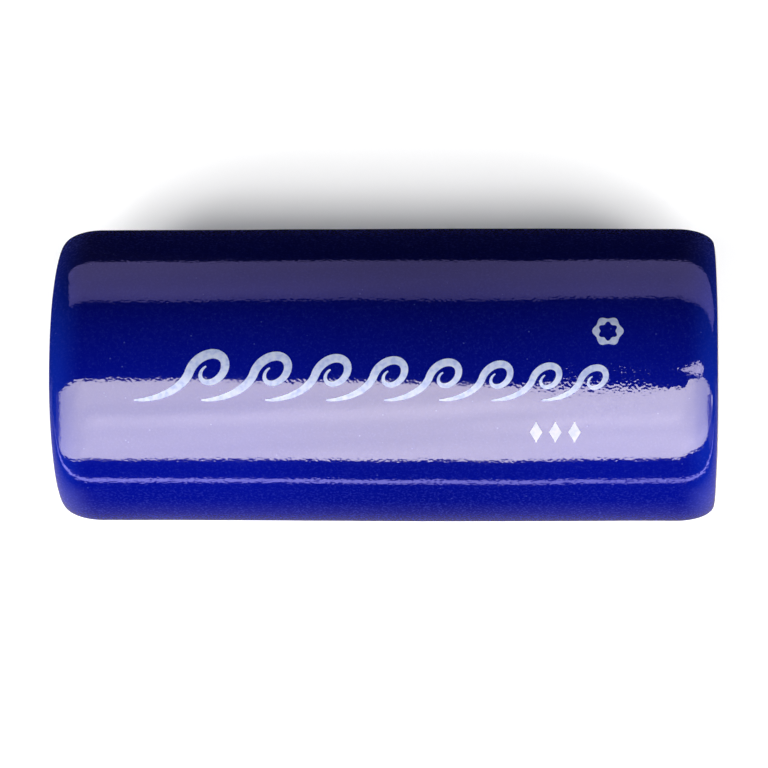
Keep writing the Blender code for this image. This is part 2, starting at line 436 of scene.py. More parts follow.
@dataclass(frozen=True)
class BisqueClay:
    """Pale stoneware clay, slip-cast, fired and left bare.

    It gives a dry, chalky cream with fine iron specks, and a toasted line where the glaze ends.
    """

    cream: str = "#DCD0BD"
    shade: str = "#CDBEA7"
    iron: str = "#7D644C"
    toasted: str = "#B08A66"
    toast_length: float = 0.9 * MM
    toast_level: float = 0.7
    cloud_size: float = 6.0 * MM
    grain_size: float = 0.16 * MM
    grain_depth: float = 0.03 * MM
    speck_spacing: float = 1.1 * MM
    speck_dot: Point = (0.05, 0.1)
    speck_level: float = 0.8
    roughness: float = 0.86

    def material(self, glaze_edge: float) -> bpy.types.Material:
        """Build the bare clay's material.

        Args:
            glaze_edge: how far along X the glaze ends in the mouth.

        Returns:
            The material.
        """
        material, tree = new_material("bisque_stoneware_clay")
        place = add_node(tree, "TexCoord").outputs["Object"]
        cloud = add_node(tree, "TexNoise", {"Vector": place, "Scale": 1 / self.cloud_size, "Detail": 5.0})
        body = add_node(
            tree, "ValToRGB", {"Fac": cloud.outputs["Fac"]}, stops=[(0.35, self.shade), (0.6, self.cream)]
        )
        along = add_node(tree, "SeparateXYZ", {"Vector": place}).outputs["X"]
        toast = add_node(
            tree,
            "MapRange",
            {
                "Value": along,
                "From Min": glaze_edge + self.toast_length,
                "From Max": glaze_edge,
                "To Max": self.toast_level,
            },
            interpolation_type="SMOOTHSTEP",
        ).outputs["Result"]
        shades = {"Factor": toast, "A": body.outputs["Color"], "B": linear(self.toasted)}
        toasted = add_node(tree, "Mix", shades, data_type="RGBA").outputs["Result"]
        speckled = speckle(
            tree, place, toasted, self.iron, self.speck_spacing, self.speck_dot, self.speck_level
        )
        shader = add_node(
            tree,
            "BsdfPrincipled",
            {
                "Base Color": speckled,
                "Roughness": self.roughness,
                "Normal": bumps(tree, place, self.grain_size, self.grain_depth, 3.0),
            },
        )
        add_node(tree, "OutputMaterial", {"Surface": shader.outputs["BSDF"]})
        return material


# ---------------------------------------------------------------- the wall's section


@dataclass
class WallSection:
    """The section of the tube's wall, which turns about the bore's axis.

    Places are x along the bore and r from its axis. Rounded parts are given as their size along the
    bore and their size across the wall.
    """

    lip_x: float
    foot_x: float
    belly_radius: float
    bore_radius: float = 10.5 * MM
    belly_rise: float = 0.10 * MM
    belly_x: float = 10.0 * MM
    shoulder: Point = (3.8 * MM, 1.65 * MM)
    lip_flare: Point = (2.6 * MM, 1.6 * MM)
    foot_flare: Point = (1.6 * MM, 1.0 * MM)
    glaze: float = 0.50 * MM
    glaze_edge: float = 0.16 * MM
    glaze_runout: float = 3.0 * MM
    glaze_start: float = math.radians(40)
    glaze_end: float = math.radians(78)
    fused_gap: float = 0.02 * MM
    arc_steps: int = 18
    barrel_steps: int = 30

    @property
    def outer_radius(self) -> float:
        """The glazed outside's radius where the shoulders start."""
        return self.belly_radius - self.belly_rise

    @property
    def barrel_ends(self) -> Point:
        """Where the barrel starts and ends along the bore."""
        return self.lip_x + self.shoulder[0], self.foot_x - self.shoulder[0]

    def arc(self, centre: Point, size: Point, start: float, end: float, steps: int) -> list[Station]:
        """Stations on an ellipse.

        Args:
            centre: the ellipse's centre.
            size: its half-length along the bore and its half-height across the wall.
            start: the first angle, from the outward radius, positive towards +X.
            end: the last angle.
            steps: how many stretches to divide it into.

        Returns:
            The stations, in order.
        """
        stations = []
        for i in range(steps + 1):
            turn = start + (end - start) * i / steps
            normal = Vector((math.sin(turn) / size[0], math.cos(turn) / size[1])).normalized()
            x, r = centre[0] + size[0] * math.sin(turn), centre[1] + size[1] * math.cos(turn)
            stations.append((x, r, normal.x, normal.y))
        return stations

    def mouth(self, start: float, end: float) -> list[Station]:
        """Stations in the flared mouth at the lip, from the bore's wall (0) to the face (a quarter turn)."""
        centre = (self.lip_x + self.lip_flare[0], self.bore_radius + self.lip_flare[1])
        return self.arc(centre, self.lip_flare, start - math.pi, end - math.pi, self.arc_steps)

    def lip_shoulder(self) -> list[Station]:
        """Stations on the outer rounding at the lip, from its face to the barrel."""
        centre = (self.barrel_ends[0], self.outer_radius - self.shoulder[1])
        return self.arc(centre, self.shoulder, -math.pi / 2, 0, self.arc_steps)

    def foot_shoulder(self, start: float, end: float, steps: int) -> list[Station]:
        """Stations on the outer rounding at the foot, from the barrel (0) to the ring (a quarter turn)."""
        centre = (self.barrel_ends[1], self.outer_radius - self.shoulder[1])
        return self.arc(centre, self.shoulder, start, end, steps)

    def foot_mouth(self) -> list[Station]:
        """Stations in the rounded mouth at the foot, from the foot ring to the bore's wall."""
        centre = (self.foot_x - self.foot_flare[0], self.bore_radius + self.foot_flare[1])
        return self.arc(centre, self.foot_flare, math.pi / 2, math.pi, self.arc_steps)

    def barrel(self) -> list[Station]:
        """Stations along the barrel, which swells smoothly from both shoulders to the belly.

        Returns:
            The stations between the shoulders, without their ends.
        """
        first, last = self.barrel_ends
        stations = []
        for i in range(1, 2 * self.barrel_steps):
            x = first + (last - first) * i / (2 * self.barrel_steps)
            reach = (last if x > self.belly_x else first) - self.belly_x
            swell = math.cos((x - self.belly_x) / reach * math.pi / 2) ** 2
            stations.append((x, self.outer_radius + self.belly_rise * swell, 0.0, 1.0))
        return stations

    def glazed(self) -> list[Station]:
        """Stations of the glazed surface, from inside the flared mouth round to the foot ring.

        Returns:
            The stations, in order.
        """
        return [
            *self.mouth(self.glaze_start, math.pi / 2),
            *self.lip_shoulder(),
            *self.barrel(),
            *self.foot_shoulder(0, self.glaze_end, self.arc_steps),
        ]

    def depths(self, stations: list[Station]) -> list[float]:
        """Thin the glaze smoothly towards its two edges.

        Args:
            stations: the glazed surface.

        Returns:
            The glaze's thickness at each station.
        """
        run = [0.0]
        for one, two in zip(stations, stations[1:]):
            run.append(run[-1] + math.dist(one[:2], two[:2]))
        depths = []
        for along in run:
            share = min(1.0, min(along, run[-1] - along) / self.glaze_runout)
            rise = share * share * (3 - 2 * share)
            depths.append(self.glaze_edge + (self.glaze - self.glaze_edge) * rise)
        return depths

    def sunk(self, stations: list[Station], depths: list[float], clearance: float) -> list[Point]:
        """Sink a surface straight down into the wall.

        Args:
            stations: the surface.
            depths: how far to sink each station.
            clearance: how much further to sink all of them.

        Returns:
            The sunk points.
        """
        return [
            (x - (depth + clearance) * nx, r - (depth + clearance) * nr)
            for (x, r, nx, nr), depth in zip(stations, depths)
        ]

    def rolled_edge(self, station: Station, side: int) -> list[Point]:
        """Points of the glaze's edge, which surface tension rolls into a half round.

        Args:
            station: the last station of the glazed surface.
            side: 1 where the glaze ends towards the station's tangent, and -1 where it starts.

        Returns:
            The points, from the surface down to the clay.
        """
        x, r, nx, nr = station
        radius = self.glaze_edge / 2
        points = []
        for turn in (30, 60, 90, 120, 150):
            out, down = math.sin(math.radians(turn)), 1 - math.cos(math.radians(turn))
            along, across = side * out * nr - down * nx, side * out * nx + down * nr
            points.append((x + radius * along, r - radius * across))
        return points

    def glaze_outline(self) -> list[Point]:
        """Draw the glaze: its glossy side, an edge, the side on the clay and an edge.

        Returns:
            The closed outline's points.
        """
        stations = self.glazed()
        outside = [(x, r) for x, r, _, _ in stations]
        inside = self.sunk(stations, self.depths(stations), 0.0)[::-1]
        foot_edge = self.rolled_edge(stations[-1], 1)
        mouth_edge = self.rolled_edge(stations[0], -1)[::-1]
        return outside + foot_edge + inside + mouth_edge

    def clay_outline(self) -> list[Point]:
        """Draw the clay: bare mouth, the part under the glaze, foot ring and bare bore.

        Returns:
            The closed outline's points.
        """
        stations = self.glazed()
        slack = self.fused_gap + self.glaze_edge / 2
        mouth = self.mouth(0, self.glaze_start - slack / self.lip_flare[1])
        ring = self.foot_shoulder(self.glaze_end + slack / self.shoulder[1], math.pi / 2, 3)
        covered = [mouth[-1], *stations, ring[0]]
        depths = [self.glaze_edge, *self.depths(stations), self.glaze_edge]
        bare_mouth = [(x, r) for x, r, _, _ in mouth]
        bare_foot = [(x, r) for x, r, _, _ in ring + self.foot_mouth()]
        bore_start, bore_end = bare_foot[-1][0], bare_mouth[0][0]
        steps = 2 * self.barrel_steps
        bore = [
            (bore_start + (bore_end - bore_start) * i / steps, self.bore_radius) for i in range(1, steps)
        ]
        return bare_mouth + self.sunk(covered, depths, self.fused_gap) + bare_foot + bore


# ---------------------------------------------------------------- the tube


@dataclass
class SlideTube:
    """The fired clay tube and the glaze coat on it."""

    section: WallSection
    axis_height: float
    turn_steps: int = 240
    clay: BisqueClay = field(default_factory=BisqueClay)
    glaze: CobaltGlaze = field(default_factory=CobaltGlaze)
    hand_size: float = 13.0 * MM  # how far apart the high spots left by hand and kiln are
    hand_depth: float = 0.10 * MM  # between the highest and the lowest spot
    edge_waver: float = 0.22 * MM  # how far the glaze's edge wanders in the mouth
    edge_reach: float = 0.9 * MM  # how far from the edge the glaze moves with it
    edge_flare: float = 0.75  # how much of the mouth's flare moves with it
    edge_bias: float = 0.35  # how much of the wandering is a steady shift
    edge_waves: tuple[Wave, ...] = ((3, 0.6, 1.0), (7, 2.1, 0.7), (16, 0.0, 0.4))

    def lathe(self, name: str, outline: list[Point]) -> bpy.types.Object:
        """Draw a closed outline point by point and spin it round the bore's axis.

        Args:
            name: the piece's name.
            outline: the section's points (x, r), in order round it.

        Returns:
            The turned piece, smooth-shaded.
        """
        deselect_all()
        (x, r), *others = outline
        bpy.ops.mesh.primitive_plane_add(size=MM, location=(x, 0, self.axis_height + r))
        piece = bpy.context.active_object
        piece.name = piece.data.name = name
        bpy.ops.object.transform_apply(location=True, rotation=True, scale=True)
        bpy.ops.object.mode_set(mode="EDIT")
        bpy.ops.mesh.merge(type="CENTER")
        for next_x, next_r in [*others, outline[0]]:
            step = (next_x - x, 0, next_r - r)
            bpy.ops.mesh.extrude_vertices_move(TRANSFORM_OT_translate={"value": step})
            x, r = next_x, next_r
        bpy.ops.mesh.select_all(action="SELECT")
        bpy.ops.mesh.remove_doubles(threshold=WELD)
        bpy.ops.mesh.select_all(action="SELECT")
        bpy.ops.mesh.spin(
            steps=self.turn_steps,
            angle=math.tau,
            use_auto_merge=True,
            center=(0, 0, self.axis_height),
            axis=(1, 0, 0),
        )
        bpy.ops.mesh.select_all(action="SELECT")
        bpy.ops.mesh.remove_doubles(threshold=WELD)
        bpy.ops.mesh.normals_make_consistent(inside=False)
        bpy.ops.object.mode_set(mode="OBJECT")
        bpy.ops.object.shade_smooth_by_angle(angle=CREASE_ANGLE)
        return piece

    def touch_by_hand(self, piece: bpy.types.Object) -> None:
        """Give a turned piece the faint unevenness of hand finishing and firing.

        Args:
            piece: the piece, still perfectly round.
        """
        texture = bpy.data.textures.new("hand_finish", "CLOUDS")
        texture.noise_scale = self.hand_size
        texture.noise_depth = 1
        apply_modifier(
            piece,
            "DISPLACE",
            texture=texture,
            texture_coords="LOCAL",
            direction="NORMAL",
            mid_level=0.5,
            strength=self.hand_depth,
        )

    def waver_glaze_edge(self, piece: bpy.types.Object) -> None:
        """Let the glaze's edge in the mouth run unevenly, as brushed-off glaze does.

        Args:
            piece: the glaze coat.
        """
        edge_x = self.section.glazed()[0][0]
        mouth_radius = self.section.bore_radius + self.section.lip_flare[1] * self.edge_flare
        most = sum(part for _, _, part in self.edge_waves)
        for vertex in piece.data.vertices:
            y, z = vertex.co.y, vertex.co.z - self.axis_height
            near = 1 - abs(vertex.co.x - edge_x) / self.edge_reach
            if math.hypot(y, z) < mouth_radius and near > 0:
                turn = math.atan2(z, y)
                wave = sum(part * math.sin(times * turn + phase) for times, phase, part in self.edge_waves)
                shift = self.edge_bias + (1 - self.edge_bias) * wave / most
                vertex.co.x += self.edge_waver * near * near * shift

    def build_clay(self) -> bpy.types.Object:
        """Build and dress the clay tube.

        Returns:
            The piece.
        """
        piece = self.lathe("fired_clay_tube", self.section.clay_outline())
        self.touch_by_hand(piece)
        piece.data.materials.append(self.clay.material(self.section.glazed()[0][0]))
        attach(piece, ROOT_BODY)
        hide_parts("ceramic_body")
        return piece

    def build_glaze(self) -> bpy.types.Object:
        """Build and dress the glaze coat.

        Returns:
            The piece.
        """
        piece = self.lathe("cobalt_glaze_shell", self.section.glaze_outline())
        self.touch_by_hand(piece)
        self.waver_glaze_edge(piece)
        half_length = (self.section.foot_x - self.section.lip_x) / 2
        piece.data.materials.append(self.glaze.material(half_length))
        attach(piece, ROOT_BODY)
        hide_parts("glaze_coat")
        return piece


# ---------------------------------------------------------------- the ornament


@dataclass
class EnamelOrnament:
    """The fired-on print: a train of curling waves, a rosette and a row of lozenges.

    Strokes are laid out flat: u runs along the bore and v round the barrel, from the side that the
    print faces. A place is given as its distance from the foot ring, and v.
    """

    section: WallSection
    axis_height: float
    enamel: WhiteEnamel = field(default_factory=WhiteEnamel)
    dense_enamel: WhiteEnamel = WhiteEnamel("#DCDCEA", "#D4D6E6", "#C8CEE2", sheen_level=0.15)
    facing: float = math.radians(80)
    thickness: float = 0.03 * MM
    lift: float = 0.004 * MM
    wave_count: int = 8
    wave_from_lip: float = 8.7 * MM
    wave_from_foot: float = 12.8 * MM
    wave_base: float = -2.5 * MM
    wave_decay: float = 0.95
    wave_slant: float = 0.30
    curl_radius: float = 2.0 * MM
    curl_height: float = 2.9 * MM
    curl_turns: float = 1.12
    curl_end: float = 0.34
    stroke_width: float = 0.95 * MM
    stroke_tip: float = 0.16
    stroke_fullness: float = 0.8
    tail_steps: int = 16
    curl_steps: int = 56
    rosette_place: Point = (10.9 * MM, 4.4 * MM)
    rosette_radius: float = 1.15 * MM
    rosette_width: float = 0.55 * MM
    rosette_petals: int = 6
    petal_share: float = 0.45
    rosette_steps: int = 120
    lozenge_count: int = 3
    lozenge_place: Point = (16.1 * MM, -5.8 * MM)
    lozenge_pitch: float = 1.9 * MM
    lozenge_size: Point = (1.25 * MM, 2.2 * MM)
    lozenge_tip: float = 0.12
    lozenge_steps: int = 24
    across_steps: int = 4

    @property
    def wave_start(self) -> float:
        """Where the first wave's tail starts."""
        return self.section.lip_x + self.wave_from_lip

    @property
    def wave_pitch(self) -> float:
        """From the first wave to the second, so that the train fills its length."""
        span = self.section.foot_x - self.wave_from_foot - self.wave_start
        return span * (1 - self.wave_decay) / (1 - self.wave_decay**self.wave_count)

    def wave(self, index: int) -> Stroke:
        """Draw one curling wave: a rising tail, and a curl that winds inwards.

        Args:
            index: which wave of the train, from 0 at the lip's side.

        Returns:
            The stroke.
        """
        size = self.wave_decay**index
        start = self.wave_start + self.wave_pitch * (1 - size) / (1 - self.wave_decay)
        radius, height = self.curl_radius * size, self.curl_height * size
        reach = self.wave_pitch * size - radius
        line = []
        for i in range(self.tail_steps):
            turn = i / self.tail_steps * math.pi / 2
            line.append((reach * math.sin(turn), height * (1 - math.cos(turn))))
        for i in range(self.curl_steps + 1):
            share = i / self.curl_steps
            turn = math.pi - share * self.curl_turns * math.tau
            away = radius * (1 - (1 - self.curl_end) * share)
            line.append((reach + radius + away * math.cos(turn), height + away * math.sin(turn)))
        run = [0.0]
        for one, two in zip(line, line[1:]):
            run.append(run[-1] + math.dist(one, two))
        stroke = []
        for (u, v), along in zip(line, run):
            bulge = max(0.0, math.sin(math.pi * along / run[-1])) ** self.stroke_fullness
            width = self.stroke_width * size * (self.stroke_tip + (1 - self.stroke_tip) * bulge)
            stroke.append((start + u + self.wave_slant * v, self.wave_base + v, width))
        return stroke

    def rosette(self) -> Stroke:
        """Draw a ring whose outer and inner edges swell into petals.

        Returns:
            The stroke.
        """
        centre = self.section.foot_x - self.rosette_place[0]
        stroke = []
        for i in range(self.rosette_steps + 1):
            turn = math.tau * i / self.rosette_steps
            width = self.rosette_width * (1 + self.petal_share * math.cos(self.rosette_petals * turn))
            u = centre + self.rosette_radius * math.cos(turn)
            v = self.rosette_place[1] + self.rosette_radius * math.sin(turn)
            stroke.append((u, v, width))
        return stroke

    def lozenge(self, index: int) -> Stroke:
        """Draw one upright lozenge of the row, from its lower point to its upper one.

        Args:
            index: which lozenge of the row, from 0 at the lip's side.

        Returns:
            The stroke.
        """
        middle = self.section.foot_x - self.lozenge_place[0]
        u = middle + (index - (self.lozenge_count - 1) / 2) * self.lozenge_pitch
        stroke = []
        for i in range(self.lozenge_steps + 1):
            share = 2 * i / self.lozenge_steps - 1
            width = self.lozenge_size[0] * max(self.lozenge_tip, 1 - abs(share))
            stroke.append((u, self.lozenge_place[1] + share * self.lozenge_size[1] / 2, width))
        return stroke

    def lay_out(self, name: str, stroke: Stroke) -> bpy.types.Object:
        """Bend a flat grid along a stroke, over the place where it is printed.

        Args:
            name: the piece's name.
            stroke: (u, v, width) along the stroke's middle line.

        Returns:
            The flat piece, whose own Z points away from the barrel.
        """
        deselect_all()
        radius = self.section.belly_radius
        height = 2 * radius
        away = Vector((0, -math.cos(self.facing), math.sin(self.facing)))
        steps = len(stroke) - 1
        bpy.ops.mesh.primitive_grid_add(
            x_subdivisions=steps,
            y_subdivisions=self.across_steps,
            size=1,
            location=Vector((0, 0, self.axis_height)) + away * height,
            rotation=(math.pi / 2 - self.facing, 0, 0),
        )
        piece = bpy.context.active_object
        piece.name = piece.data.name = name
        for vertex in piece.data.vertices:
            i = round((vertex.co.x + 0.5) * steps)
            before, after = stroke[max(i - 1, 0)], stroke[min(i + 1, steps)]
            if i in (0, steps) and stroke[0][:2] == stroke[-1][:2]:
                before, after = stroke[-2], stroke[1]
            heading = math.atan2(after[1] - before[1], after[0] - before[0])
            u, v, width = stroke[i]
            aside = vertex.co.y * width
            u, v = u - math.sin(heading) * aside, v + math.cos(heading) * aside
            vertex.co = (u, radius * math.sin(v / radius), 0)
        bpy.ops.object.mode_set(mode="EDIT")
        bpy.ops.mesh.select_all(action="SELECT")
        bpy.ops.mesh.remove_doubles(threshold=WELD)
        bpy.ops.mesh.normals_make_consistent(inside=False)
        bpy.ops.object.mode_set(mode="OBJECT")
        return piece

    def print_on(
        self, glaze: bpy.types.Object, name: str, stroke: Stroke, node: str, enamel: WhiteEnamel
    ) -> None:
        """Print one stroke on the glaze: lay it down, give it its thickness and dress it.

        Args:
            glaze: the glaze coat that it lies on.
            name: the piece's name.
            stroke: (u, v, width) along its middle line.
            node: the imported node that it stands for.
            enamel: what it is printed with.
        """
        piece = self.lay_out(name, stroke)
        if piece.data.polygons[0].normal.z < 0:
            piece.data.flip_normals()
        apply_modifier(
            piece,
            "SHRINKWRAP",
            target=glaze,
            wrap_method="PROJECT",
            use_project_z=True,
            use_negative_direction=True,
            use_positive_direction=False,
            offset=self.lift,
        )
        apply_modifier(piece, "SOLIDIFY", thickness=self.thickness, offset=1.0)
        bpy.ops.object.transform_apply(location=True, rotation=True, scale=True)
        bpy.ops.object.shade_smooth_by_angle(angle=CREASE_ANGLE)
        piece.data.materials.append(enamel.material())
        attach(piece, ROOT_BODY)
        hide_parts(node)
        log.info("%s printed", name)

    def build(self, glaze: bpy.types.Object) -> None:
        """Print the whole ornament.

        Args:
            glaze: the glaze coat that it lies on.
        """
        for index in range(self.wave_count):
            name = f"wave_{index + 1}"
            self.print_on(glaze, "enamel_" + name, self.wave(index), "print_" + name, self.enamel)
        self.print_on(glaze, "enamel_rosette", self.rosette(), "print_rosette", self.enamel)
        for index in range(self.lozenge_count):
            name = f"lozenge_{index + 1}"
            stroke = self.lozenge(index)
            self.print_on(glaze, "enamel_" + name, stroke, "print_" + name, self.dense_enamel)


# ---------------------------------------------------------------- the studio


class SeenBy(Enum):
    """Which surfaces a lamp or a card acts on."""

    MATT = "only what scatters light: it lights colours and makes no highlight"
    GLOSS = "only what reflects: it makes a highlight and lights nothing"


@dataclass(frozen=True)
class Lamp:
    """A soft lamp that lights colours and makes no highlight."""

    name: str
    level: float  # how bright a white, matt surface that faces it looks
    elevation: float  # degrees
    side: float  # degrees turned towards +X
    size: Point  # its width and height


@dataclass(frozen=True)
class FloorWash:
    """A pair of overhead suns for the floor, in degrees, and how bright they make white paper."""

    elevation: float
    tilt: float
    spread: float
    level: float


@dataclass(frozen=True)
class PaintedTableReflection:
    """A sheet that only reflections show: a painted reflection of the table, with a painted shadow behind
    the slide.

    A rise is where the sheet's glow starts to change and where it has changed.
    """

    size: float = 4.0
    lift: float = 0.3 * MM  # over the floor
    level: float = 0.006
    tint: Colour = (1.0, 0.86, 1.1)
    front_rise: Point = (-45 * MM, -16 * MM)
    front_level: float = 0.16
    ends_rise: Point = (30 * MM, 48 * MM)
    ends_level: float = 0.42
    near_rise: Point = (-75 * MM, -30 * MM)  # for the ends' level, far out in front
    # The dark behind the slide is a painted shadow of the slide on the table.
    back_rise: Point = (0.0, -12 * MM)  # from the dark behind the slide to its front
    front_share: float = 0.01  # how much of the front's level is left behind the slide
    ends_share: float = 0.04  # how much of the ends' level is left there


@dataclass(frozen=True)
class Fold:
    """A soft fold in a card's cloth, from one (x, elevation) to another."""

    start: Point
    end: Point
    half_width: float  # degrees
    gain: float  # how much brighter it is in its middle
    fade: float = 0.012  # how softly it ends, along the bore


@dataclass(frozen=True)
class Card:
    """A bent sheet that only reflections show, parallel to the bore and turned towards the slide.

    An edge is a row of (x, elevation). The x is in metres, along the bore.
    """

    name: str
    radiance: Colour
    low: tuple[Point, ...]
    high: tuple[Point, ...]
    middle: float = 0.0  # where along the bore the sheet is plainest
    reach: float = 0.4  # how far from there it takes on its end level
    end_level: float = 1.0
    streaks: float = 0.0  # how much creases in the cloth change it
    folds: tuple[Fold, ...] = ()
    distance: float = 0.45  # from the bore's axis


@dataclass
class Studio:
    """Floor, drape, lamps, reflected cards and camera.

    Elevations are degrees from the horizon in front (-Y), over the top, to the horizon behind.
    """

    axis_height: float
    floor_height: float
    floor_name: str = "studio_floor"
    floor_size: float = 6.0
    camera_distance: float = 390.6 * MM
    camera_side: float = 20 * MM
    camera_elevation: float = 80.0
    camera_aim: Point = (-0.5 * MM, -0.94 * MM)
    lens: float = 178.0
    lamp_distance: float = 0.9
    own_glow: float = 0.11
    # Painted light: the floor glows brighter past the slide's two ends, which lifts the slide's shadow
    # there.
    painted_end_light: float = 0.26  # past the slide's two ends
    painted_end_light_rise: Point = (26 * MM, 37 * MM)
    paper: float = 0.8
    matt_albedo: float = 0.08  # how pale the floor is to the light that it throws on the slide
    fill_level: float = 0.04
    drape_radius: float = 1.6
    drape_glow: Colour = (0.010, 0.010, 0.016)
    crease_scale: Point = (4.0, 5.5)  # of creases in a card's cloth, across them and along the bore
    crease_lean: float = -3.52  # how much they climb, in radians a metre
    crease_span: Point = (0.3, 0.7)  # which part of the noise they use
    # A sheet whose glow is a painted reflection of the table, with a painted shadow behind the slide.
    reflected_table: PaintedTableReflection = field(default_factory=PaintedTableReflection)

    def direction(self, elevation: float, side: float = 0.0) -> Vector:
        """A unit vector from the slide.

        Args:
            elevation: degrees over the horizon in front.
            side: degrees turned towards +X.

        Returns:
            The vector.
        """
        up, turn = math.radians(elevation), math.radians(side)
        ahead = Vector((0, -math.cos(up), math.sin(up)))
        return (ahead * math.cos(turn) + Vector((math.sin(turn), 0, 0))).normalized()

    @property
    def centre(self) -> Vector:
        """The middle of the bore."""
        return Vector((0, 0, self.axis_height))

    def facing_slide(self, place: Vector) -> Matrix:
        """Find a placement whose own -Z looks at the slide and whose own X stays level.

        Args:
            place: where it stands.

        Returns:
            The placement.
        """
        back = (place - self.centre).normalized()
        right = Vector((0, 0, 1)).cross(back)
        if abs(right.x) > abs(right.y):
            right = Vector((1, 0, 0)) - back * back.x
        right.normalize()
        up = back.cross(right)
        turn = Matrix((right, up, back)).transposed().to_4x4()
        return Matrix.Translation(place) @ turn

    def limit(self, thing: bpy.types.Object, seen_by: SeenBy) -> None:
        """Hide a lamp or a card from the rays that it isn't for.

        Args:
            thing: the lamp or the card.
            seen_by: what it acts on.
        """
        thing.visible_camera = False
        thing.visible_transmission = False
        thing.visible_volume_scatter = False
        thing.visible_diffuse = seen_by is SeenBy.MATT
        thing.visible_glossy = seen_by is SeenBy.GLOSS

    def add_camera(self) -> None:
        """Look nearly straight down on the slide, with the bore level in the picture."""
        up = math.radians(self.camera_elevation)
        drop = math.sqrt(self.camera_distance**2 - self.camera_side**2)
        place = self.centre + Vector((self.camera_side, -drop * math.cos(up), drop * math.sin(up)))
        aim = self.centre + Vector((*self.camera_aim, 0.0))
        back = (place - aim).normalized()
        right = (Vector((1, 0, 0)) - back * back.x).normalized()
        turn = Matrix((right, back.cross(right), back)).transposed().to_4x4()
        deselect_all()
        bpy.ops.object.camera_add()
        camera = bpy.context.active_object
        camera.matrix_world = Matrix.Translation(place) @ turn
        camera.data.lens = self.lens
        camera.data.clip_start = 10 * MM
        bpy.context.scene.camera = camera

    def add_lamp(self, lamp: Lamp) -> None:
        """Add a soft lamp, which passes over the floor.

        Args:
            lamp: the lamp.
        """
        deselect_all()
        bpy.ops.object.light_add(type="AREA")
        box = bpy.context.active_object
        box.name = box.data.name = lamp.name
        toward = self.direction(lamp.elevation, lamp.side)
        box.matrix_world = self.facing_slide(self.centre + toward * self.lamp_distance)
        box.data.shape = "RECTANGLE"
        box.data.size, box.data.size_y = lamp.size
        box.data.energy = math.pi**2 * lamp.level * self.lamp_distance**2
        box.light_linking.receiver_collection = self.floor_link("EXCLUDE")
        self.limit(box, SeenBy.MATT)

    def floor_link(self, state: str) -> bpy.types.Collection:
        """Make a collection that lets a lamp fall on the floor alone, or on all but the floor.

        Args:
            state: "INCLUDE" or "EXCLUDE".

        Returns:
            The collection, for the lamp's light linking.
        """
        name = "floor_" + state.lower()
        if name not in bpy.data.collections:
            linked = bpy.data.collections.new(name)
            linked.objects.link(bpy.data.objects[self.floor_name])
            linked.collection_objects[0].light_linking.link_state = state
        return bpy.data.collections[name]

    def fold_gain(self, tree: Tree, fold: Fold, along: Socket, elevation: Socket) -> Socket:
        """Draw one fold of a card's cloth.

        Args:
            tree: the card's node tree.
            fold: the fold.
            along: the output that gives the place along the bore.
            elevation: the output that gives the elevation, in radians.

        Returns:
            The output that gives how much brighter the fold makes the card.
        """
        (x0, up0), (x1, up1) = fold.start, fold.end
        slope = math.radians(up1 - up0) / (x1 - x0)
        ridge = {0: along, 1: slope, 2: math.radians(up0) - slope * x0}
        ridge = add_node(tree, "Math", ridge, operation="MULTIPLY_ADD").outputs[0]
        off = add_node(tree, "Math", {0: elevation, 1: ridge}, operation="SUBTRACT").outputs[0]
        off = distance_from(tree, off)
        side = {"Value": off, "From Max": math.radians(fold.half_width), "To Min": fold.gain, "To Max": 0.0}
        gain = add_node(tree, "MapRange", side, interpolation_type="SMOOTHSTEP").outputs["Result"]
        for end, inward in ((x0, fold.fade), (x1, -fold.fade)):
            stop = {"Value": along, "From Min": end - inward, "From Max": end + inward, "To Max": gain}
            gain = add_node(tree, "MapRange", stop, interpolation_type="SMOOTHSTEP").outputs["Result"]
        return gain

    def crease(self, tree: Tree, card: Card, along: Socket, elevation: Socket) -> Socket:
        """Draw the fine creases of a card's cloth, which climb along the bore.

        Args:
            tree: the card's node tree.
            card: the card.
            along: the output that gives the place along the bore.
            elevation: the output that gives the elevation, in radians.

        Returns:
            The output that gives the creases' share of the card's level, about 1.
        """
        across = {0: along, 1: self.crease_lean, 2: elevation}
        across = add_node(tree, "Math", across, operation="MULTIPLY_ADD").outputs[0]
        cloth = add_node(tree, "CombineXYZ", {"X": across, "Y": along}).outputs[0]
        drawn = add_node(tree, "Mapping", {"Vector": cloth, "Scale": (*self.crease_scale, 1.0)})
        noise = add_node(tree, "TexNoise", {"Vector": drawn.outputs["Vector"], "Scale": 1.0, "Detail": 3.0})
        span = {"Value": noise.outputs["Fac"], "To Min": 1 - card.streaks, "To Max": 1 + card.streaks}
        span.update({"From Min": self.crease_span[0], "From Max": self.crease_span[1]})
        return add_node(tree, "MapRange", span).outputs["Result"]

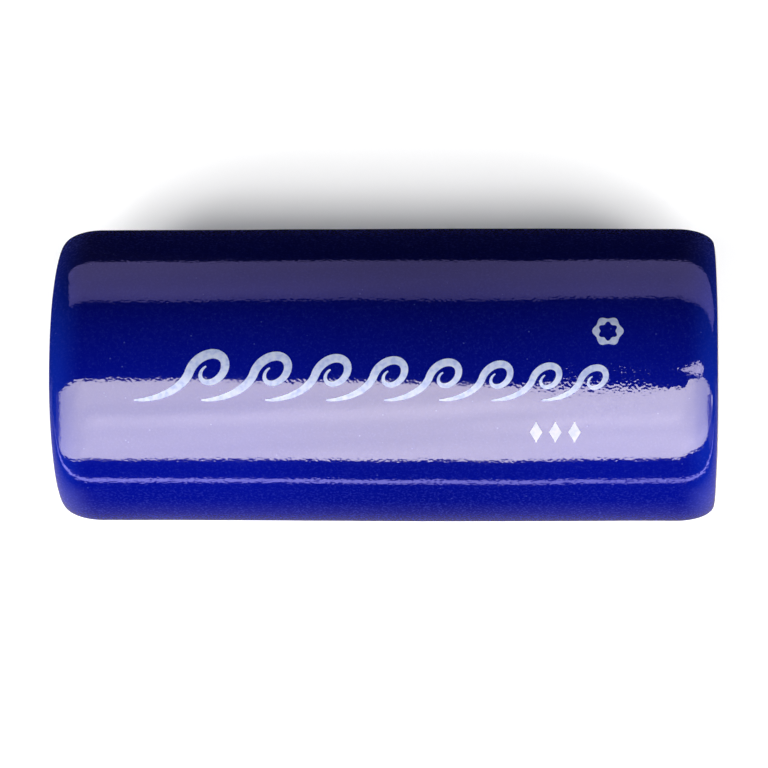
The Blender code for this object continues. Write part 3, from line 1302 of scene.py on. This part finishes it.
    def card_glow(self, card: Card) -> bpy.types.Material:
        """Make the glow of a card: plainest in its middle, with its folds and creases.

        Args:
            card: the card.

        Returns:
            The material.
        """
        material, tree = new_material(card.name)
        place = add_node(tree, "TexCoord").outputs["Object"]
        point = add_node(tree, "SeparateXYZ", {"Vector": place}).outputs
        along = point["X"]
        rise = add_node(tree, "Math", {0: point["Z"], 1: self.axis_height}, operation="SUBTRACT").outputs[0]
        ahead = add_node(tree, "Math", {0: point["Y"], 1: -1.0}, operation="MULTIPLY").outputs[0]
        elevation = add_node(tree, "Math", {0: rise, 1: ahead}, operation="ARCTAN2").outputs[0]
        away = distance_from(tree, along, card.middle)
        fall = {"Value": away, "From Max": card.reach, "To Min": 1.0, "To Max": card.end_level}
        level = add_node(tree, "MapRange", fall).outputs["Result"]
        for fold in card.folds:
            gain = self.fold_gain(tree, fold, along, elevation)
            folded = {0: level, 1: gain, 2: level}
            level = add_node(tree, "Math", folded, operation="MULTIPLY_ADD").outputs[0]
        crease = self.crease(tree, card, along, elevation)
        level = add_node(tree, "Math", {0: level, 1: crease}, operation="MULTIPLY").outputs[0]
        glow = add_node(tree, "Emission", {"Color": (*card.radiance, 1.0), "Strength": level})
        add_node(tree, "OutputMaterial", {"Surface": glow.outputs["Emission"]})
        return material

    def add_card(self, card: Card, steps: tuple[int, int] = (200, 12)) -> None:
        """Bend a sheet to a card's outline and make it glow.

        Args:
            card: the card.
            steps: how many stretches the sheet has along the bore and round it.
        """
        deselect_all()
        bpy.ops.mesh.primitive_grid_add(x_subdivisions=steps[0], y_subdivisions=steps[1], size=1)
        sheet = bpy.context.active_object
        sheet.name = card.name
        first, last = card.low[0][0], card.low[-1][0]
        for vertex in sheet.data.vertices:
            x = first + (last - first) * (vertex.co.x + 0.5)
            low, high = between(card.low, x), between(card.high, x)
            up = math.radians(low + (high - low) * (vertex.co.y + 0.5))
            rise = card.distance * math.sin(up)
            vertex.co = (x, -card.distance * math.cos(up), self.axis_height + rise)
        sheet.data.materials.append(self.card_glow(card))
        self.only_reflected(sheet)

    def only_reflected(self, thing: bpy.types.Object) -> None:
        """Make a stage piece act on reflections and on nothing else.

        Args:
            thing: the stage piece.
        """
        thing.visible_shadow = False
        self.limit(thing, SeenBy.GLOSS)

    def shows_white(self, tree: Tree) -> Socket:
        """Find the rays that look at the white background.

        Args:
            tree: the node tree.

        Returns:
            The output that gives 1 for those rays and 0 for the others.
        """
        rays = add_node(tree, "LightPath").outputs
        seen = {0: rays["Is Camera Ray"], 1: rays["Is Glossy Ray"]}
        seen = add_node(tree, "Math", seen, operation="MAXIMUM").outputs[0]
        through = {0: seen, 1: rays["Is Transmission Ray"]}
        return add_node(tree, "Math", through, operation="MAXIMUM").outputs[0]

    def add_floor(self) -> None:
        """Lay a white floor that keeps the slide's shadow, with painted light past the slide's two ends that
        lifts that shadow there.
        """
        deselect_all()
        bpy.ops.mesh.primitive_plane_add(size=self.floor_size, location=(0, 0, self.floor_height))
        floor = bpy.context.active_object
        floor.name = self.floor_name
        material, tree = new_material("white_paper_sweep")
        place = add_node(tree, "TexCoord").outputs["Object"]
        along = add_node(tree, "SeparateXYZ", {"Vector": place}).outputs["X"]
        # Painted light: the floor's glow rises past the slide's two ends.
        rise = {"Value": distance_from(tree, along), "To Min": self.own_glow, "To Max": self.painted_end_light}
        rise.update({"From Min": self.painted_end_light_rise[0], "From Max": self.painted_end_light_rise[1]})
        own = add_node(tree, "MapRange", rise, interpolation_type="SMOOTHSTEP").outputs["Result"]
        matt = add_node(tree, "BsdfDiffuse", {"Color": (*[self.matt_albedo] * 3, 1.0)})
        paper = add_node(tree, "BsdfDiffuse", {"Color": (*[self.paper] * 3, 1.0)})
        glow = add_node(tree, "Emission", {"Color": (1.0, 1.0, 1.0, 1.0), "Strength": own})
        white = add_node(tree, "AddShader", {0: paper.outputs[0], 1: glow.outputs[0]})
        looks = {0: self.shows_white(tree), 1: matt.outputs[0], 2: white.outputs[0]}
        mix = add_node(tree, "MixShader", looks)
        add_node(tree, "OutputMaterial", {"Surface": mix.outputs[0]})
        floor.data.materials.append(material)

    def add_overhead_washes(self) -> None:
        """Wash the floor from overhead, so that the slide drops a short soft shadow behind it.

        Each wash is a pair of broad suns, one leaning to each side, that fall on the floor alone.
        """
        for wash in FLOOR_WASHES:
            for side in (-1, 1):
                up, turn = math.radians(wash.elevation), side * math.tan(math.radians(wash.tilt))
                toward = Vector((turn, -1 / math.tan(up), 1)).normalized()
                deselect_all()
                bpy.ops.object.light_add(type="SUN")
                sun = bpy.context.active_object
                sun.rotation_euler = toward.to_track_quat("Z", "Y").to_euler()
                sun.data.angle = math.radians(wash.spread)
                sun.data.energy = math.pi * wash.level / 2 / self.paper / toward.z
                sun.light_linking.receiver_collection = self.floor_link("INCLUDE")
                self.limit(sun, SeenBy.MATT)

    def add_world(self) -> None:
        """White behind everything, with a low even fill for the slide's own colours."""
        world = bpy.data.worlds.new("white_studio")
        bpy.context.scene.world = world
        world.use_nodes = True
        tree = world.node_tree
        tree.nodes.clear()
        fill = add_node(tree, "Background", {"Strength": self.fill_level})
        white = add_node(tree, "Background", {"Color": (1.0, 1.0, 1.0, 1.0), "Strength": 1.0})
        looks = {0: self.shows_white(tree), 1: fill.outputs[0], 2: white.outputs[0]}
        mix = add_node(tree, "MixShader", looks)
        add_node(tree, "OutputWorld", {"Surface": mix.outputs[0]})

    def add_drape(self) -> None:
        """Hang dark cloth round the set, to keep the glaze's reflections clean."""
        deselect_all()
        bpy.ops.mesh.primitive_ico_sphere_add(subdivisions=4, radius=self.drape_radius)
        dome = bpy.context.active_object
        dome.name = "dark_drape"
        material, tree = new_material("black_velvet")
        glow = add_node(tree, "Emission", {"Color": (*self.drape_glow, 1.0)})
        add_node(tree, "OutputMaterial", {"Surface": glow.outputs["Emission"]})
        dome.data.materials.append(material)
        self.only_reflected(dome)

    def painted_table_level(self, tree: Tree, across: Socket, along: Socket) -> Socket:
        """Paint the table's reflection: paler in front and past the slide's two ends, with a painted shadow
        nearly dark behind it.

        Args:
            tree: the sheet's node tree.
            across: the output that gives the place across the bore.
            along: the output that gives the place along it.

        Returns:
            The output that gives the sheet's painted glow.
        """
        reflected_table = self.reflected_table
        levels = []
        for value, rise, top in (
            (across, reflected_table.front_rise, reflected_table.front_level),
            (distance_from(tree, along), reflected_table.ends_rise, reflected_table.ends_level),
            (across, reflected_table.near_rise, 1.0),
        ):
            span = {"Value": value, "From Min": rise[0], "From Max": rise[1], "To Max": top}
            shade = add_node(tree, "MapRange", span, interpolation_type="SMOOTHSTEP")
            levels.append(shade.outputs["Result"])
        lit = []
        for level, share in zip(levels, (reflected_table.front_share, reflected_table.ends_share)):
            span = {"From Min": reflected_table.back_rise[0], "From Max": reflected_table.back_rise[1], "To Min": share}
            back = add_node(tree, "MapRange", {"Value": across, **span}).outputs["Result"]
            lit.append(add_node(tree, "Math", {0: level, 1: back}, operation="MULTIPLY").outputs[0])
        front, ends = lit
        both = {0: ends, 1: levels[2], 2: front}
        both = add_node(tree, "Math", both, operation="MULTIPLY_ADD").outputs[0]
        return add_node(tree, "Math", {0: both, 1: reflected_table.level}, operation="ADD").outputs[0]

    def add_painted_table_reflection(self) -> None:
        """Lay the sheet that paints the table's reflection, with its painted shadow, under the slide."""
        deselect_all()
        height = self.floor_height + self.reflected_table.lift
        bpy.ops.mesh.primitive_plane_add(size=self.reflected_table.size, location=(0, 0, height))
        reflected_table = bpy.context.active_object
        reflected_table.name = "table_mat"
        material, tree = new_material("painted_table_glow")
        place = add_node(tree, "TexCoord").outputs["Object"]
        point = add_node(tree, "SeparateXYZ", {"Vector": place}).outputs
        level = self.painted_table_level(tree, point["Y"], point["X"])
        glow = add_node(tree, "Emission", {"Color": (*self.reflected_table.tint, 1.0), "Strength": level})
        add_node(tree, "OutputMaterial", {"Surface": glow.outputs["Emission"]})
        reflected_table.data.materials.append(material)
        self.only_reflected(reflected_table)

    def build(self) -> None:
        """Set up the whole studio."""
        self.add_camera()
        self.add_floor()
        self.add_overhead_washes()
        self.add_world()
        self.add_drape()
        self.add_painted_table_reflection()
        for lamp in LAMPS:
            self.add_lamp(lamp)
        for card in CARDS:
            self.add_card(card)
        bpy.context.scene.view_settings.view_transform = "Standard"
        log.info("studio set up")


LAMPS = (
    Lamp("key_softbox", 1.15, 32, 0, (0.8, 0.5)),
    Lamp("left_side_lamp", 0.45, 20, -80, (0.4, 0.3)),
    Lamp("right_side_lamp", 0.45, 20, 80, (0.4, 0.3)),
    Lamp("back_lamp", 0.03, 170, 0, (0.8, 0.3)),
)

FLOOR_WASHES = (FloorWash(73, 34, 16, 0.64), FloorWash(48, 32, 40, 0.78))

CARDS = (
    Card(
        "front_softbox",
        (11.6, 10.6, 11.0),
        low=(
            (-0.6, -1),
            (-0.45, -1),
            (-0.2, 7),
            (-0.094, 11.5),
            (0.025, 11.5),
            (0.05, 13),
            (0.12, 16),
            (0.45, 19),
            (0.7, 28),
            (1.1, 37),
        ),
        high=(
            (-0.6, 60),
            (-0.45, 66),
            (-0.2, 75),
            (-0.094, 76),
            (-0.05, 76),
            (0.0, 72),
            (0.025, 70),
            (0.09, 71),
            (0.14, 76),
            (0.36, 78),
            (0.45, 76),
            (0.7, 66),
            (1.1, 50),
        ),
        reach=0.42,
        end_level=0.6,
        streaks=0.05,
        folds=(
            Fold((-0.085, 42), (0.012, 57.5), 9, 0.17),
            Fold((0.004, 38), (0.050, 49), 9, 0.15),
            Fold((0.022, 45), (0.20, 45), 160, 0.08),
            Fold((0.050, 24), (0.50, 28), 10, 0.12),
        ),
    ),
    Card(
        "softbox_strap",
        (8.0, 7.2, 8.8),
        low=((0.056, 84.0), (0.09, 82.8), (0.16, 81.4), (0.27, 80.6), (0.36, 81.0)),
        high=((0.056, 84.6), (0.09, 86.3), (0.16, 88.2), (0.27, 90.6), (0.36, 90.6)),
        streaks=0.2,
    ),
    Card(
        "rear_softbox",
        (0.78, 0.66, 1.68),
        low=((-0.29, 139.4), (0.016, 139.4), (0.024, 142.4), (0.045, 142), (0.07, 139.6), (1.0, 139.4)),
        high=((-0.29, 179.7), (1.0, 179.7)),
        middle=-0.015,
        reach=0.065,
        end_level=1.32,
        streaks=0.05,
        folds=(Fold((-0.4, 180), (1.1, 180), 34, -0.20), Fold((-0.4, 139), (1.1, 139), 8, -0.22)),
    ),
    Card(
        "bright_table_edge",
        (2.8, 2.6, 6.2),
        low=((-0.35, -7.7), (0.35, -7.7)),
        high=((-0.35, -4.0), (0.35, -4.0)),
        middle=0.02,
        reach=0.09,
        end_level=1.4,
        distance=0.106,
    ),
    Card("left_side_card", (0.5, 0.45, 0.9), low=((-0.9, -5), (-0.5, -5)), high=((-0.9, 60), (-0.5, 60))),
    Card("right_side_card", (0.5, 0.45, 0.9), low=((0.5, -5), (0.9, -5)), high=((0.5, 60), (0.9, 60))),
)


def main() -> None:
    """Build the studio and the slide."""
    logging.basicConfig(level=logging.INFO, format="%(name)s: %(message)s")
    glaze_low, glaze_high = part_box("glaze_coat")
    clay_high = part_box("ceramic_body")[1]
    axis_height = (glaze_low.z + glaze_high.z) / 2
    belly_radius = (glaze_high.y - glaze_low.y) / 2 / math.cos(math.pi / MODEL_FACETS)
    section = WallSection(glaze_low.x, clay_high.x, belly_radius)

    Studio(axis_height, axis_height - belly_radius).build()
    tube = SlideTube(section, axis_height)
    tube.build_clay()
    log.info("clay tube built")
    glaze = tube.build_glaze()
    log.info("glaze coat built")
    EnamelOrnament(section, axis_height).build(glaze)


if __name__ == "__main__":
    main()
